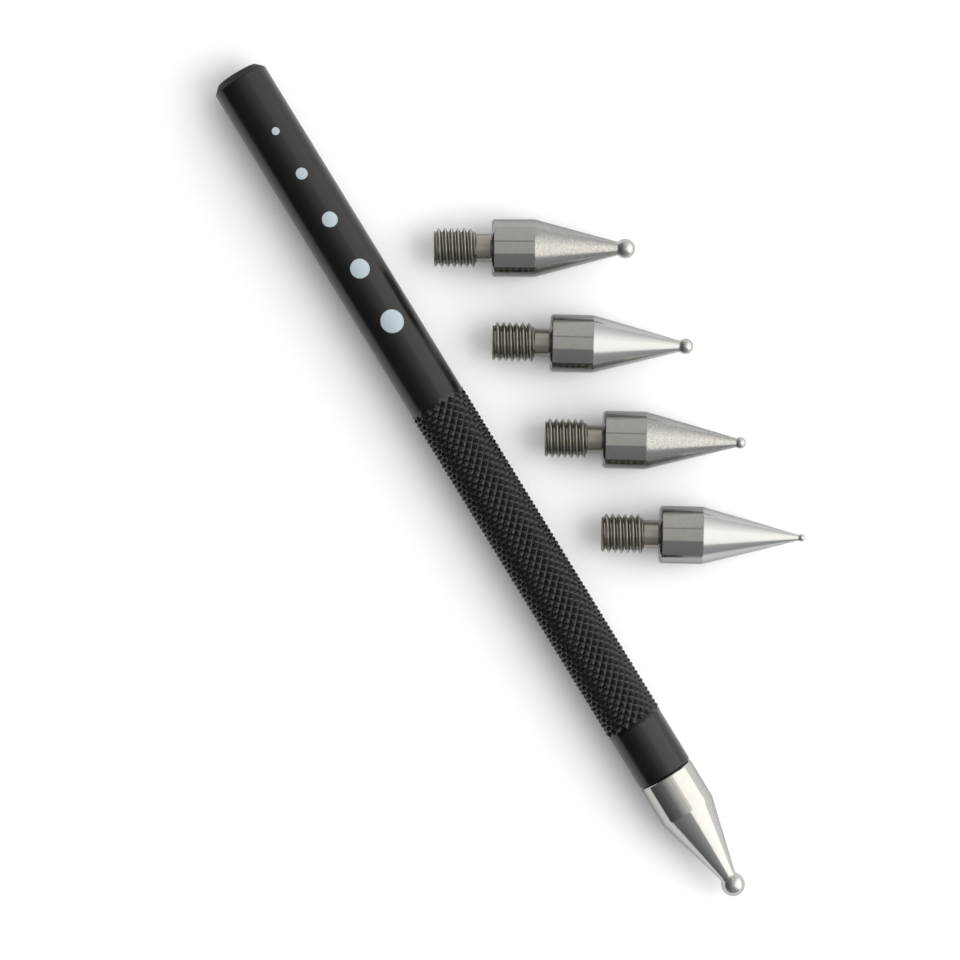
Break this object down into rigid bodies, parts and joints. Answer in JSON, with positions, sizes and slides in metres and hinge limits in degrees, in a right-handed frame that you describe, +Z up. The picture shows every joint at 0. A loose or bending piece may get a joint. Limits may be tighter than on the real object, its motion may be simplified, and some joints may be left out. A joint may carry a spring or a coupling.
{
  "type": "ball stylus with spare tips",
  "caption": "Slim hand stylus for leather and craft work: a black knurled metal handle with a screw-in steel ball tip, and smaller spare ball tips lying loose beside it.",
  "frame": {"origin": "on the bench, under the middle of the bounding box of the handle and the spare tips as they lie", "axes": "+X along the handle from its flat rear end to the fitted ball, +Y across the bench towards the spare tips, +Z up from the bench"},
  "size_m": [0.1216, 0.0356, 0.0077],
  "materials": {
    "black_anodised": "satin black anodised aluminium, diamond knurled on the grip",
    "polished_steel": "turned and polished stainless steel with fine lathe lines",
    "ball_steel": "smooth polished steel ball"
  },
  "bodies": {
    "handle": {"handle": "black_anodised"},
    "fitted_ball": {"fitted_ball_3_0mm": "ball_steel"},
    "fitted_tip": {"fitted_tip_3_0mm": "polished_steel"},
    "spare_2_5mm": {"spare_tip_2_5mm": "polished_steel", "spare_ball_2_5mm": "ball_steel"},
    "spare_2_0mm": {"spare_tip_2_0mm": "polished_steel", "spare_ball_2_0mm": "ball_steel"},
    "spare_1_5mm": {"spare_tip_1_5mm": "polished_steel", "spare_ball_1_5mm": "ball_steel"},
    "spare_1_0mm": {"spare_tip_1_0mm": "polished_steel", "spare_ball_1_0mm": "ball_steel"}
  },
  "joints": [
    {"name": "tip_travel", "type": "slide", "parent": "handle", "child": "fitted_ball", "axis": [1, 0, 0], "range_m": [0, 0.008]},
    {"name": "tip_turn", "type": "hinge", "parent": "fitted_ball", "child": "fitted_tip", "pos_m": [0.04289, -0.01394, 0.00384], "axis": [1, 0, 0], "range_deg": [0, 3610]},
    {"name": "spare_2_5mm_lift", "type": "slide", "parent": "handle", "child": "spare_2_5mm", "axis": [0, 0, 1], "range_m": [0, 0.03]},
    {"name": "spare_2_0mm_lift", "type": "slide", "parent": "handle", "child": "spare_2_0mm", "axis": [0, 0, 1], "range_m": [0, 0.03]},
    {"name": "spare_1_5mm_lift", "type": "slide", "parent": "handle", "child": "spare_1_5mm", "axis": [0, 0, 1], "range_m": [0, 0.03]},
    {"name": "spare_1_0mm_lift", "type": "slide", "parent": "handle", "child": "spare_1_0mm", "axis": [0, 0, 1], "range_m": [0, 0.03]}
  ],
  "couplings": [
    {"joint": "tip_turn", "follows": "tip_travel", "rad_per_m": 7854}
  ]
}
